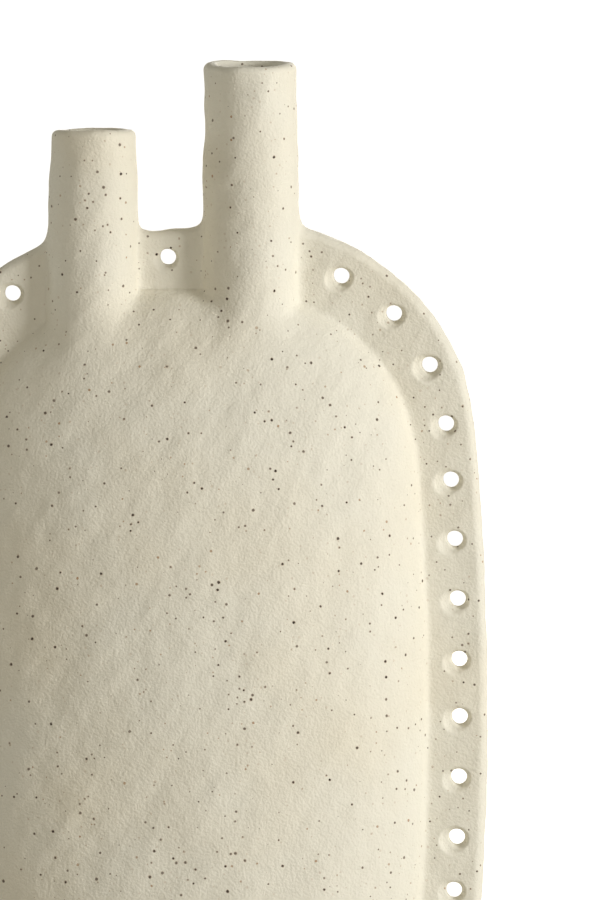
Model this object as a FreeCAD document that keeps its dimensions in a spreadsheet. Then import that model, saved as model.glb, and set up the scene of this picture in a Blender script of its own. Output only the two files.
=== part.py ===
import FreeCAD, Part
import math
import os

import Sketcher

# Stoneware pillow vase, built the way a potter builds it: two pressed slabs that meet at a
# pierced flange, two neck tubes set through the crown, and a base slab let in between the walls.
# Millimetres. X runs across the pillow, Y through its depth with the front at -Y, Z up.

SIZES = {
    # the pillow, outside
    "pillow_half_width": 101.0,
    "pillow_half_depth": 45.0,
    "pillow_top": 347.5,
    "pillow_side_radius": 1250.0,
    "pillow_shoulder_radius": 77.0,
    "pillow_crown_radius": 600.0,
    "widest_height": 168.0,
    "foot_tuck": 8.0,
    "wall": 6.0,
    # the flange where the two slabs are pinched together
    "flange_width": 25.2,
    "flange_rise": 26.1,
    "flange_side_radius": 1278.0,
    "flange_shoulder_radius": 91.0,
    "flange_crown_radius": 900.0,
    "flange_corner_radius": 32.0,
    "flange_thickness": 11.0,
    "flange_rim_radius": 4.6,
    # the pierced holes and the dishes pressed around them
    "hole_diameter": 6.8,
    "hole_mouth_diameter": 12.4,
    "hole_edge_distance": 12.5,
    "hole_pitch": 25.0,
    "lowest_hole_height": 28.0,
    "crown_hole_offset": 10.0,
    "right_first_hole": 63.4,
    "left_first_hole": 75.8,
    # the necks
    "neck_root_depth": 17.5,
    "tall_neck_offset": 24.5,
    "tall_neck_height": 444.0,
    "tall_neck_root_radius": 20.6,
    "tall_neck_rim_radius": 19.6,
    "tall_neck_bore_radius": 14.4,
    "short_neck_offset": 42.0,
    "short_neck_height": 416.0,
    "short_neck_root_radius": 19.4,
    "short_neck_rim_radius": 17.8,
    "short_neck_bore_radius": 12.8,
    "lip_outer_radius": 3.4,
    "lip_inner_radius": 1.2,
    # the base slab, a little clear of the table
    "base_thickness": 7.0,
    "foot_recess": 1.5,
    # how far a cutting block runs past what it cuts, and what still counts as level
    "overrun": 10.0,
    "level_tolerance": 0.01,
}

# Sizes that follow from those above.
FOLLOWING_SIZES = {
    "flange_half_width": "=pillow_half_width + flange_width",
    "flange_top": "=pillow_top + flange_rise",
    "neck_root_height": "=pillow_top - neck_root_depth",
}

# Half the depth of the pillow at its stations from the widest height up to the crown.
CROWN_DEPTH_SHARES = (0.975, 0.92, 0.84, 0.74, 0.62, 0.5, 0.37, 0.24)
# Heights of the stations from the foot up to the widest height.
FOOT_HEIGHT_SHARES = (0.0, 0.2, 0.45, 0.72, 1.0)
# The top station is this share of half the flange's thickness, so that the flange hides it.
TOP_STATION_SHARE = 0.85
# Powers of the crown's profile, and of the way the foot is tucked in.
CROWN_HEIGHT_POWER = 2.5
CROWN_DEPTH_POWER = 2.2
FOOT_TUCK_POWER = 2.0

# Steps between the holes down the right side, as shares of the pitch; the rest are whole.
RIGHT_PITCH_SHARES = (1.1, 1.07, 1.04, 0.96, 1.01, 1.02, 1.03, 0.98, 1.03, 1.03, 0.91)
EVEN_SHARE = 1.0
# Degrees between the walls of the dish around each hole.
MOUTH_ANGLE = 78.0

# The axis of a sketch's arcs and circles.
UPRIGHT = FreeCAD.Vector(0, 0, 1)

NODES = ("front_slab", "back_slab", "base_slab", "tall_neck", "short_neck")

doc = FreeCAD.newDocument("pillow_vase")
sheet = doc.addObject("Spreadsheet::Sheet", "Sizes")
next_row = iter(range(1, 2000))


def note(alias, value):
    """Write one named value into the sheet."""
    row = next(next_row)
    sheet.set(f"A{row}", alias)
    sheet.set(f"B{row}", str(value))
    sheet.setAlias(f"B{row}", alias)


def size(alias):
    return float(sheet.get(alias))


def bind(feature, **expressions):
    for name, expression in expressions.items():
        feature.setExpression(name, expression)


# Seen from the front, the pillow and its flange are outlined by touching arcs: a long side, a
# shoulder and a flat crown. Each arc is a tuple of its centre across, its centre up, its radius.


def outline(kind, inset):
    side_radius = size(f"{kind}_side_radius")
    shoulder_radius = size(f"{kind}_shoulder_radius")
    crown_radius = size(f"{kind}_crown_radius")
    side = (size(f"{kind}_half_width") - side_radius, size("widest_height"))
    crown = (0.0, size(f"{kind}_top") - crown_radius)
    side_gap = side_radius - shoulder_radius
    crown_gap = crown_radius - shoulder_radius
    apart = math.dist(side, crown)
    along = (side_gap**2 - crown_gap**2 + apart**2) / (2 * apart)
    across = math.sqrt(side_gap**2 - along**2)
    step = ((crown[0] - side[0]) / apart, (crown[1] - side[1]) / apart)
    shoulder = (
        side[0] + step[0] * along - step[1] * across,
        side[1] + step[1] * along + step[0] * across,
    )
    return {
        "side": (*side, side_radius - inset),
        "shoulder": (*shoulder, shoulder_radius - inset),
        "crown": (*crown, crown_radius - inset),
    }


def heading(arc, towards):
    """The angle at which another arc's centre is seen from this arc's centre."""
    return math.atan2(towards[1] - arc[1], towards[0] - arc[0])


def point_at(arc, angle):
    return (arc[0] + arc[2] * math.cos(angle), arc[1] + arc[2] * math.sin(angle))


def half_width_at(arcs, height):
    side_end = point_at(arcs["side"], heading(arcs["side"], arcs["shoulder"]))
    crown_end = point_at(arcs["crown"], heading(arcs["crown"], arcs["shoulder"]))
    if height <= side_end[1]:
        arc = arcs["side"]
    elif height <= crown_end[1]:
        arc = arcs["shoulder"]
    else:
        arc = arcs["crown"]
    return arc[0] + math.sqrt(arc[2] ** 2 - (height - arc[1]) ** 2)


# The pillow and its hollow are lofted through level ellipses.


def stations(inset):
    """Height, half width and half depth of each station of the pillow, taken in by inset."""
    arcs = outline("pillow", inset)
    widest = size("widest_height")
    rise = size("pillow_top") - inset - widest
    depth = size("pillow_half_depth") - inset
    rows = []
    for share in FOOT_HEIGHT_SHARES:
        height = widest * share
        tuck = size("foot_tuck") * (1 - share) ** FOOT_TUCK_POWER
        rows.append((height, half_width_at(arcs, height), depth - tuck))
    top_share = size("flange_thickness") / 2 * TOP_STATION_SHARE / depth
    for share in (*CROWN_DEPTH_SHARES, top_share):
        height = widest + rise * (1 - share**CROWN_DEPTH_POWER) ** (1 / CROWN_HEIGHT_POWER)
        rows.append((height, half_width_at(arcs, height), depth * share))
    return rows


def pillow_form(name, inset):
    ellipses = []
    for index, (height, half_width, half_depth) in enumerate(stations(inset)):
        prefix = f"{name}_station_{index}"
        note(f"{prefix}_height", height)
        note(f"{prefix}_half_width", half_width)
        note(f"{prefix}_half_depth", half_depth)
        ellipse = doc.addObject("Part::Ellipse", prefix)
        bind(ellipse, MajorRadius=f"Sizes.{prefix}_half_width")
        bind(ellipse, MinorRadius=f"Sizes.{prefix}_half_depth")
        ellipse.setExpression("Placement.Base.z", f"Sizes.{prefix}_height")
        ellipses.append(ellipse)
    form = doc.addObject("Part::Loft", name)
    form.Sections = ellipses
    form.Solid = True
    return form


# The flange is a plate padded from the seam towards the front.


def origin_plane(body, role):
    return next(f for f in body.Origin.OriginFeatures if f.Role == role)


def body_sketch(body, name, role):
    sketch = body.newObject("Sketcher::SketchObject", name)
    sketch.AttachmentSupport = [(origin_plane(body, role), "")]
    sketch.MapMode = "FlatFace"
    return sketch


def flat(across, up):
    """A point of a sketch."""
    return FreeCAD.Vector(across, up, 0)


def sketch_arc(arc, start, end):
    return Part.ArcOfCircle(Part.Circle(flat(arc[0], arc[1]), UPRIGHT, arc[2]), start, end)


def mirrored(arc):
    return (-arc[0], arc[1], arc[2])


def flange_outline(sketch):
    arcs = outline("flange", 0.0)
    corner_radius = size("flange_corner_radius")
    side, shoulder, crown = arcs["side"], arcs["shoulder"], arcs["crown"]
    across = math.sqrt((side[2] - corner_radius) ** 2 - (side[1] - corner_radius) ** 2)
    corner = (side[0] + across, corner_radius, corner_radius)
    low = heading(side, corner)
    high = heading(side, shoulder)
    top = heading(shoulder, (shoulder[0] * 2 - crown[0], shoulder[1] * 2 - crown[1]))
    turn = math.pi
    sketch.addGeometry(
        [
            Part.LineSegment(flat(-corner[0], 0), flat(corner[0], 0)),
            sketch_arc(corner, -turn / 2, low),
            sketch_arc(side, low, high),
            sketch_arc(shoulder, high, top),
            sketch_arc(crown, top, turn - top),
            sketch_arc(mirrored(shoulder), turn - top, turn - high),
            sketch_arc(mirrored(side), turn - high, turn - low),
            sketch_arc(mirrored(corner), turn - low, turn * 3 / 2),
        ],
        False,
    )
    hold_flange_outline(sketch)


def hold_flange_outline(sketch):
    """Tie the eight edges together and give them their named sizes."""
    start, end, centre = 1, 2, 3
    origin, up = -1, -2
    edges = range(8)
    base, corner, side, shoulder, crown, left_shoulder, left_side, left_corner = edges
    join = Sketcher.Constraint
    for edge in edges:
        sketch.addConstraint(join("Tangent", edge, end, (edge + 1) % len(edges), start))
    sketch.addConstraint(join("PointOnObject", base, start, origin))
    sketch.addConstraint(join("PointOnObject", base, end, origin))
    sketch.addConstraint(join("PointOnObject", crown, centre, up))
    sketch.addConstraint(join("Symmetric", side, centre, left_side, centre, up))
    for right, left in ((side, left_side), (shoulder, left_shoulder), (corner, left_corner)):
        sketch.addConstraint(join("Equal", right, left))
    named = {
        "flange_side_radius": join("Radius", side, size("flange_side_radius")),
        "flange_shoulder_radius": join("Radius", shoulder, size("flange_shoulder_radius")),
        "flange_crown_radius": join("Radius", crown, size("flange_crown_radius")),
        "flange_corner_radius": join("Radius", corner, size("flange_corner_radius")),
        "widest_height": join("DistanceY", origin, start, side, centre, size("widest_height")),
    }
    for alias, constraint in named.items():
        index = sketch.addConstraint(constraint)
        sketch.setExpression(f"Constraints[{index}]", f"Sizes.{alias}")
    fall = size("flange_crown_radius") - size("flange_top")
    index = sketch.addConstraint(join("DistanceY", crown, centre, origin, start, fall))
    sketch.setExpression(f"Constraints[{index}]", "Sizes.flange_crown_radius - Sizes.flange_top")
    reach = size("flange_side_radius") - size("flange_half_width")
    index = sketch.addConstraint(join("DistanceX", side, centre, origin, start, reach))
    sketch.setExpression(
        f"Constraints[{index}]", "Sizes.flange_side_radius - Sizes.flange_half_width"
    )


def holes_down_one_side(first_offset, pitch_shares=()):
    """Points a pitch apart on the hole line, from the first hole down to the foot."""
    steps = iter(pitch_shares)
    arcs = outline("flange", size("hole_edge_distance"))
    side, shoulder, crown = arcs["side"], arcs["shoulder"], arcs["crown"]
    turns = (
        (crown, math.acos((first_offset - crown[0]) / crown[2]), heading(crown, shoulder)),
        (shoulder, heading(crown, shoulder), heading(side, shoulder)),
        (side, heading(side, shoulder), -math.pi / 2),
    )
    if turns[0][1] < turns[0][2]:
        begin = math.acos((first_offset - shoulder[0]) / shoulder[2])
        turns = ((shoulder, begin, turns[1][2]), turns[2])
    points = []
    wait = 0.0
    for arc, begin, stop in turns:
        angle = begin - wait / arc[2]
        while angle > stop:
            point = point_at(arc, angle)
            if point[1] < size("lowest_hole_height"):
                return points
            points.append(point)
            angle -= size("hole_pitch") * next(steps, EVEN_SHARE) / arc[2]
        wait = (stop - angle) * arc[2]
    return points


def hole_places():
    crown = outline("flange", size("hole_edge_distance"))["crown"]
    offset = size("crown_hole_offset")
    places = [(-offset, crown[1] + math.sqrt(crown[2] ** 2 - offset**2))]
    places += holes_down_one_side(size("right_first_hole"), RIGHT_PITCH_SHARES)
    places += [(-x, z) for x, z in holes_down_one_side(size("left_first_hole"))]
    return places


def draw_holes(sketch):
    for index, (x, z) in enumerate(hole_places()):
        side = "left" if x < 0 else "right"
        note(f"hole_{index}_{side}", abs(x))
        note(f"hole_{index}_height", z)
        radius = size("hole_diameter") / 2
        circle = sketch.addGeometry(Part.Circle(flat(x, z), UPRIGHT, radius), False)
        ends = (circle, 3, -1, 1) if x < 0 else (-1, 1, circle, 3)
        constraints = (
            (Sketcher.Constraint("DistanceX", *ends, abs(x)), f"Sizes.hole_{index}_{side}"),
            (Sketcher.Constraint("DistanceY", -1, 1, circle, 3, z), f"Sizes.hole_{index}_height"),
            (Sketcher.Constraint("Radius", circle, radius), "Sizes.hole_diameter / 2"),
        )
        for constraint, expression in constraints:
            number = sketch.addConstraint(constraint)
            sketch.setExpression(f"Constraints[{number}]", expression)


def rim_edges(pad):
    """Names of the plate's edges at its front, all but the straight one on the table."""
    front = pad.Shape.BoundBox.YMin
    names = []
    for index, edge in enumerate(pad.Shape.Edges, start=1):
        box = edge.BoundBox
        level = box.YMax - front < size("level_tolerance")
        if level and box.ZMax > size("foot_recess"):
            names.append(f"Edge{index}")
    return names


def flange_body():
    body = doc.addObject("PartDesign::Body", "FlangePlate")
    sketch = body_sketch(body, "FlangeOutline", "XZ_Plane")
    flange_outline(sketch)
    pad = body.newObject("PartDesign::Pad", "FlangePad")
    pad.Profile = sketch
    bind(pad, Length="Sizes.flange_thickness / 2")
    doc.recompute()
    rim = body.newObject("PartDesign::Fillet", "FlangeRim")
    rim.Base = (pad, rim_edges(pad))
    bind(rim, Radius="Sizes.flange_rim_radius")
    doc.recompute()
    places = body_sketch(body, "HolePlaces", "XZ_Plane")
    places.setExpression(".AttachmentOffset.Base.z", "Sizes.flange_thickness / 2")
    draw_holes(places)
    doc.recompute()
    holes = body.newObject("PartDesign::Hole", "Holes")
    holes.Profile = places
    doc.recompute()
    holes.DepthType = "ThroughAll"
    holes.HoleCutType = "Countersink"
    holes.HoleCutCustomValues = True
    holes.HoleCutCountersinkAngle = MOUTH_ANGLE
    bind(holes, Diameter="Sizes.hole_diameter", HoleCutDiameter="Sizes.hole_mouth_diameter")
    body.Tip = holes
    return body


# Each neck is a turned tube with a soft lip. Its outer form also cuts the seat in the slabs.


def neck_profile(sketch, neck):
    root, rim = size(f"{neck}_root_radius"), size(f"{neck}_rim_radius")
    bore = size(f"{neck}_bore_radius")
    low, high = size("neck_root_height"), size(f"{neck}_height")
    outer, inner = size("lip_outer_radius"), size("lip_inner_radius")
    outer_centre = flat(rim - outer, high - outer)
    inner_centre = flat(bore + inner, high - inner)
    sketch.addGeometry(
        [
            Part.LineSegment(flat(bore, low), flat(root, low)),
            Part.LineSegment(flat(root, low), flat(rim, high - outer)),
            Part.ArcOfCircle(Part.Circle(outer_centre, UPRIGHT, outer), 0, math.pi / 2),
            Part.LineSegment(flat(rim - outer, high), flat(bore + inner, high)),
            Part.ArcOfCircle(Part.Circle(inner_centre, UPRIGHT, inner), math.pi / 2, math.pi),
            Part.LineSegment(flat(bore, high - inner), flat(bore, low)),
        ],
        False,
    )
    hold_neck_profile(sketch, neck)


def hold_neck_profile(sketch, neck):
    start, end = 1, 2
    origin = -1
    foot, outside, lip, top, inner_lip, bore = range(6)
    join = Sketcher.Constraint
    for first, second in ((foot, outside), (bore, foot)):
        sketch.addConstraint(join("Coincident", first, end, second, start))
    sketch.addConstraint(join("Coincident", outside, end, lip, start))
    for first, second in ((lip, top), (top, inner_lip), (inner_lip, bore)):
        sketch.addConstraint(join("Tangent", first, end, second, start))
    sketch.addConstraint(join("Horizontal", foot))
    sketch.addConstraint(join("Horizontal", top))
    sketch.addConstraint(join("Vertical", bore))
    across, up = ("DistanceX", origin, start), ("DistanceY", origin, start)
    named = (
        (join(*across, foot, end, size(f"{neck}_root_radius")), f"{neck}_root_radius"),
        (join(*across, lip, start, size(f"{neck}_rim_radius")), f"{neck}_rim_radius"),
        (join(*across, foot, start, size(f"{neck}_bore_radius")), f"{neck}_bore_radius"),
        (join(*up, foot, start, size("neck_root_height")), "neck_root_height"),
        (join(*up, top, start, size(f"{neck}_height")), f"{neck}_height"),
        (join("Radius", lip, size("lip_outer_radius")), "lip_outer_radius"),
        (join("Radius", inner_lip, size("lip_inner_radius")), "lip_inner_radius"),
    )
    for constraint, alias in named:
        index = sketch.addConstraint(constraint)
        sketch.setExpression(f"Constraints[{index}]", f"Sizes.{alias}")
    shoulder = size(f"{neck}_height") - size("lip_outer_radius")
    index = sketch.addConstraint(join(*up, lip, start, shoulder))
    sketch.setExpression(f"Constraints[{index}]", f"Sizes.{neck}_height - Sizes.lip_outer_radius")


def neck_offset(neck):
    return f"-Sizes.{neck}_offset" if neck == "short_neck" else f"Sizes.{neck}_offset"


def neck_tube(neck):
    body = doc.addObject("PartDesign::Body", f"{neck}_tube")
    sketch = body_sketch(body, f"{neck}_profile", "XZ_Plane")
    neck_profile(sketch, neck)
    turned = body.newObject("PartDesign::Revolution", f"{neck}_turned")
    turned.Profile = sketch
    turned.ReferenceAxis = (sketch, ["V_Axis"])
    turned.Angle = 360
    body.Tip = turned
    body.setExpression("Placement.Base.x", neck_offset(neck))
    return body


def neck_seat(neck):
    seat = doc.addObject("Part::Cone", f"{neck}_seat")
    bind(
        seat,
        Radius1=f"Sizes.{neck}_root_radius",
        Radius2=f"Sizes.{neck}_rim_radius",
        Height=f"Sizes.{neck}_height - Sizes.lip_outer_radius - Sizes.neck_root_height",
    )
    seat.setExpression("Placement.Base.x", neck_offset(neck))
    seat.setExpression("Placement.Base.z", "Sizes.neck_root_height")
    return seat


# The pieces.


def block(name, low, high, front, back):
    """A block as wide as the vase between two heights and two depths."""
    box = doc.addObject("Part::Box", name)
    half = "(Sizes.flange_half_width + Sizes.overrun)"
    bind(box, Length=f"2 * {half}", Width=f"{back} - ({front})", Height=f"{high} - ({low})")
    box.setExpression("Placement.Base.x", f"-{half}")
    box.setExpression("Placement.Base.y", front)
    box.setExpression("Placement.Base.z", low)
    return box


def combine(kind, name, first, second):
    feature = doc.addObject(kind, name)
    if kind == "Part::MultiFuse":
        feature.Shapes = [first, second]
    else:
        feature.Base = first
        feature.Tool = second
    return feature


def front_slab(outer, hollow, plate, seats):
    reach = "Sizes.pillow_half_depth + Sizes.overrun"
    front = block("FrontHalf", "-Sizes.overrun", "Sizes.flange_top", f"-({reach})", "0")
    half = combine("Part::Common", "FrontPillow", outer, front)
    whole = combine("Part::MultiFuse", "FrontForm", half, plate)
    shell = combine("Part::Cut", "FrontShell", whole, hollow)
    seated = combine("Part::Cut", "FrontSeated", shell, seats[0])
    return combine("Part::Cut", "FrontSlab", seated, seats[1])


def back_slab(front):
    back = doc.addObject("Part::Mirroring", "BackSlab")
    back.Source = front
    back.Base = FreeCAD.Vector(0, 0, 0)
    back.Normal = FreeCAD.Vector(0, 1, 0)
    return back


def base_slab(hollow):
    reach = "Sizes.pillow_half_depth"
    level = block(
        "BaseLevel",
        "Sizes.foot_recess",
        "Sizes.foot_recess + Sizes.base_thickness",
        f"-{reach}",
        reach,
    )
    return combine("Part::Common", "BaseSlab", hollow, level)


def check_pieces(pieces):
    for feature in doc.Objects:
        if "Invalid" in feature.State or "Error" in feature.State:
            raise RuntimeError(f"{feature.Name}: {feature.State}")
    for name, piece in pieces.items():
        shape = piece.Shape
        if shape.isNull() or not shape.isValid() or len(shape.Solids) != 1:
            raise RuntimeError(f"{name} is not one sound solid")


def main():
    for alias, value in (SIZES | FOLLOWING_SIZES).items():
        note(alias, value)
    doc.recompute()
    outer = pillow_form("pillow", 0.0)
    hollow = pillow_form("hollow", size("wall"))
    plate = flange_body()
    necks = ("tall_neck", "short_neck")
    seats = [neck_seat(neck) for neck in necks]
    front = front_slab(outer, hollow, plate, seats)
    pieces = {
        "front_slab": front,
        "back_slab": back_slab(front),
        "base_slab": base_slab(hollow),
    }
    for neck in necks:
        pieces[neck] = combine("Part::Cut", f"{neck}_piece", neck_tube(neck), hollow)
    for name, piece in pieces.items():
        piece.Label = name
    doc.recompute()
    check_pieces(pieces)
    os.makedirs("parts", exist_ok=True)
    for name in NODES:
        pieces[name].Shape.exportStep(f"parts/{name}.step")
        box = pieces[name].Shape.BoundBox
        print(name, round(pieces[name].Shape.Volume), box)


main()
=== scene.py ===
import math

import bpy
import numpy as np
from bpy.props import FloatProperty, FloatVectorProperty, PointerProperty
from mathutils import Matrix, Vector


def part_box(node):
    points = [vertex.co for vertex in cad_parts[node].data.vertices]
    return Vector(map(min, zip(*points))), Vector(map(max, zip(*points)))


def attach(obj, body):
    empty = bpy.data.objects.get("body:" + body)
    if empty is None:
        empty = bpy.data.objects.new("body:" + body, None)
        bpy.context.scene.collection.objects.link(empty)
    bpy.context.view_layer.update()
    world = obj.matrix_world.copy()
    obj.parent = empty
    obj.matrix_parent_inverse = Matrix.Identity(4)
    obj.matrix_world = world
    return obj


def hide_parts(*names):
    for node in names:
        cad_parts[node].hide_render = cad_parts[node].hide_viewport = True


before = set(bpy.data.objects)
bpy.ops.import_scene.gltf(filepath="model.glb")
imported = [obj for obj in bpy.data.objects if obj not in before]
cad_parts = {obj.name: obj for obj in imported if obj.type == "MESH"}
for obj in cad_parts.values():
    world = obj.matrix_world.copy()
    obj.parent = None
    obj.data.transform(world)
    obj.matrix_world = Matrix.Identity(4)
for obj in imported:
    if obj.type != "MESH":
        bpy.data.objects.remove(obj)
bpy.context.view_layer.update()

bl_info = {
    "name": "Pillow Vase",
    "version": (1, 0, 0),
    "blender": (4, 5, 0),
    "location": "3D View > Sidebar > Vase",
    "description": "Shapes a slab-built stoneware pillow vase with a pierced flange and two necks",
    "category": "Add Mesh",
}

MM = 0.001

# The clay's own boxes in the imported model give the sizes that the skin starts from.
SLAB_LOW, SLAB_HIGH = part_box("front_slab")
BASE_LOW, BASE_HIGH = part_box("base_slab")
TALL_LOW, TALL_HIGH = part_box("tall_neck")
SHORT_LOW, SHORT_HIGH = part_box("short_neck")

# How far the flange runs past the bulge, to the side and above.
FLANGE_WIDTH = 25.2 * MM
FLANGE_RISE = 26.1 * MM


def length(name, description, default):
    return FloatProperty(name=name, description=description, default=default, unit="LENGTH")


def share(name, description, default):
    return FloatProperty(name=name, description=description, default=default, subtype="FACTOR")


def colour(name, description, default):
    return FloatVectorProperty(
        name=name, description=description, default=default, size=3, subtype="COLOR", min=0, max=1
    )


def part(kind, name, description):
    return PointerProperty(type=kind, name=name, description=description)


class PillowSettings(bpy.types.PropertyGroup):
    half_width: length("Half width", "From the middle to the flange", SLAB_HIGH[0] - FLANGE_WIDTH)
    half_depth: length("Half depth", "From the seam to the front of the bulge", -SLAB_LOW[1])
    top: length("Top", "Height of the bulge's crown", SLAB_HIGH[2] - FLANGE_RISE)
    widest: length("Widest height", "Height at which the vase is widest", 168.0 * MM)
    side: length("Side radius", "Radius of the long bow of each side", 1250.0 * MM)
    shoulder: length("Shoulder radius", "Radius of each shoulder", 77.0 * MM)
    crown: length("Crown radius", "Radius of the flat crown", 600.0 * MM)
    tuck: length("Foot tuck", "How far the foot is drawn in", 8.0 * MM)
    wall: length("Wall", "Thickness of the slabs", 6.0 * MM)
    wave: length("Wave", "Height of the waves left by the hand", 1.45 * MM)
    wave_span: length("Wave span", "Distance between the waves", 22.0 * MM)


class FlangeSettings(bpy.types.PropertyGroup):
    width: length("Width", "From the bulge to the outer edge", FLANGE_WIDTH)
    rise: length("Rise", "From the bulge's crown to the flange's", FLANGE_RISE)
    thickness: length("Thickness", "Both slabs together", 11.0 * MM)
    side: length("Side radius", "Radius of the long bow of each side", 1278.0 * MM)
    shoulder: length("Shoulder radius", "Radius of each shoulder", 91.0 * MM)
    crown: length("Crown radius", "Radius of the flat crown", 900.0 * MM)
    corner: length("Corner radius", "Radius of the lower corners", 32.0 * MM)
    rim: length("Rim radius", "Rounding of the outer edge", 4.9 * MM)
    crease: length("Crease", "Softness of the crease at the bulge", 3.5 * MM)


class HoleSettings(bpy.types.PropertyGroup):
    radius: length("Radius", "Radius of the piercing tool", 3.4 * MM)
    pitch: length("Pitch", "Distance from one hole to the next", 25.0 * MM)
    inset: length("Inset", "From the flange's edge to the row of holes", 12.5 * MM)
    crown: length("Crown hole", "Hole between the necks, from the middle", 10.0 * MM)
    right: length("First on the right", "First hole on the right, from the middle", 63.4 * MM)
    left: length("First on the left", "First hole on the left, from the middle", 75.8 * MM)
    lowest: length("Lowest", "No hole is pierced below this", 28.0 * MM)
    dish: length("Dish radius", "Radius of the thumbed dish at its mouth", 6.2 * MM)
    dish_depth: length("Dish depth", "Depth of the thumbed dish", 3.0 * MM)
    dish_aside: length("Dish aside", "How far the dish lies to the left of its hole", 1.7 * MM)
    dish_below: length("Dish below", "How far the dish lies below its hole", 1.4 * MM)
    funnel: length("Funnel radius", "Radius of the steep mouth that the tool leaves", 4.7 * MM)
    funnel_aside: length("Funnel aside", "How far the mouth lies to the right", 0.35 * MM)
    funnel_below: length("Funnel below", "How far the mouth lies below its hole", 0.85 * MM)
    funnel_flare: share("Funnel flare", "How fast the mouth opens", 0.42)
    lean_aside: share("Lean aside", "Sideways lean of the tool", 0.07)
    lean_up: share("Lean up", "Upward lean of the tool", 0.01)
    edge: length("Edge", "Softness of the pierced edge", 0.7 * MM)


class TallNeckSettings(bpy.types.PropertyGroup):
    offset: length(
        "Offset", "From the middle of the vase", (TALL_LOW[0] + TALL_HIGH[0]) / 2 + 0.5 * MM
    )
    height: length("Height", "Height of the rim above the table", TALL_HIGH[2])
    root_height: length("Root height", "Where the tube starts inside", TALL_LOW[2])
    root: length("Root radius", "Outside radius at the root", 21.6 * MM)
    rim: length("Rim radius", "Outside radius at the rim", 20.2 * MM)
    bore: length("Bore radius", "Inside radius", 14.4 * MM)
    lip: length("Lip radius", "Rounding of the rim's outer edge", 3.4 * MM)
    nod: share("Nod", "How much the rim tips towards the front", 0.02)


class ShortNeckSettings(bpy.types.PropertyGroup):
    offset: length(
        "Offset", "From the middle of the vase", (SHORT_LOW[0] + SHORT_HIGH[0]) / 2 + 0.4 * MM
    )
    height: length("Height", "Height of the rim above the table", SHORT_HIGH[2])
    root_height: length("Root height", "Where the tube starts inside", SHORT_LOW[2])
    root: length("Root radius", "Outside radius at the root", 21.2 * MM)
    rim: length("Rim radius", "Outside radius at the rim", 18.5 * MM)
    bore: length("Bore radius", "Inside radius", 12.8 * MM)
    lip: length("Lip radius", "Rounding of the rim's outer edge", 3.4 * MM)
    nod: share("Nod", "How much the rim tips towards the front", -0.03)


class ClaySettings(bpy.types.PropertyGroup):
    clay: colour("Clay", "Colour of the fired clay", (0.79, 0.76, 0.655))
    warm: colour("Warm clay", "Colour where the clay fired warmer", (0.78, 0.73, 0.60))
    iron: colour("Iron", "Colour of the dark specks", (0.022, 0.014, 0.008))
    rust: colour("Rust", "Colour of the paler specks", (0.33, 0.16, 0.045))
    roughness: share("Roughness", "Roughness of the matt surface", 0.72)
    sand_height: length("Sand height", "Height of the sandy grain", 0.46 * MM)
    sand_span: length("Sand span", "Size of a grain", 1.0 * MM)
    speck_spacing: length("Speck spacing", "Distance between the dark specks", 3.55 * MM)
    speck_radius: length("Speck radius", "Radius of the largest specks", 0.72 * MM)


class VaseSettings(bpy.types.PropertyGroup):
    pillow: part(PillowSettings, "Pillow", "The bulge")
    flange: part(FlangeSettings, "Flange", "The pinched edge")
    holes: part(HoleSettings, "Holes", "The pierced holes")
    tall: part(TallNeckSettings, "Tall neck", "The right neck")
    short: part(ShortNeckSettings, "Short neck", "The left neck")
    clay: part(ClaySettings, "Clay", "The stoneware's finish")
    neck_seam: length("Neck seam", "How far the necks melt into the bulge", 16.0 * MM)
    face_seam: length("Face seam", "How far the necks melt into the flange's face", 4.0 * MM)
    web_seam: length("Web seam", "How far the necks melt into the flange's edge", 9.5 * MM)
    rim_seam: length("Rim seam", "Softness of the inner edges", 2.6 * MM)
    foot_edge: length("Foot edge", "Rounding of the foot", 3.0 * MM)
    grain: length("Skin grain", "Spacing of the points that the skin is drawn through", 0.9 * MM)


class StageSettings(bpy.types.PropertyGroup):
    floor: colour("Floor", "Colour of the floor", (0.62, 0.58, 0.50))
    distance: length("Camera distance", "From the camera to the vase", 6.0)
    height: length("Camera height", "Height of the camera above the table", 0.83)
    aim_across: length("Aim across", "What the camera looks at, from the middle", 0.0458)
    aim_up: length("Aim up", "What the camera looks at, above the table", 0.2786)
    width: length("Width shown", "How much the picture takes in from side to side", 0.2544)
    key: share("Key light", "What the soft light on the right adds to a face turned to it", 0.77)
    side: share("Side light", "What the weak light beside the key adds", 0.05)
    front: share("Front light", "What the weak light beside the camera adds", 0.14)
    fill: share("Fill light", "What the weak light on the left adds", 0.12)
    back: share("Back light", "What the light behind the vase adds", 0.40)
    around: share("Light around", "What the surroundings add", 0.18)


# Nodes, each added with its settings and its inputs in one go.


def join(plug, value):
    """Link a plug to a term, or else set its value."""
    if isinstance(value, Term):
        value.tree.links.new(value.socket, plug)
    else:
        plug.default_value = value


def feed(node, inputs):
    """Join a node's inputs, given by name or by place."""
    for plug, value in dict(inputs).items():
        join(node.inputs[plug], value)


def add_node(tree, kind, inputs=(), **settings):
    node = tree.nodes.new(kind)
    for name, value in settings.items():
        setattr(node, name, value)
    feed(node, inputs)
    return node


def result(tree, kind, inputs=(), output=0, **settings):
    return Term(add_node(tree, kind, inputs, **settings).outputs[output])


def terms(plugs):
    """Plugs as terms, by their names."""
    return {plug.name: Term(plug) for plug in plugs if plug.name}


# Terms: values inside a node tree, of which the numbers can be written as arithmetic.


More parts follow.
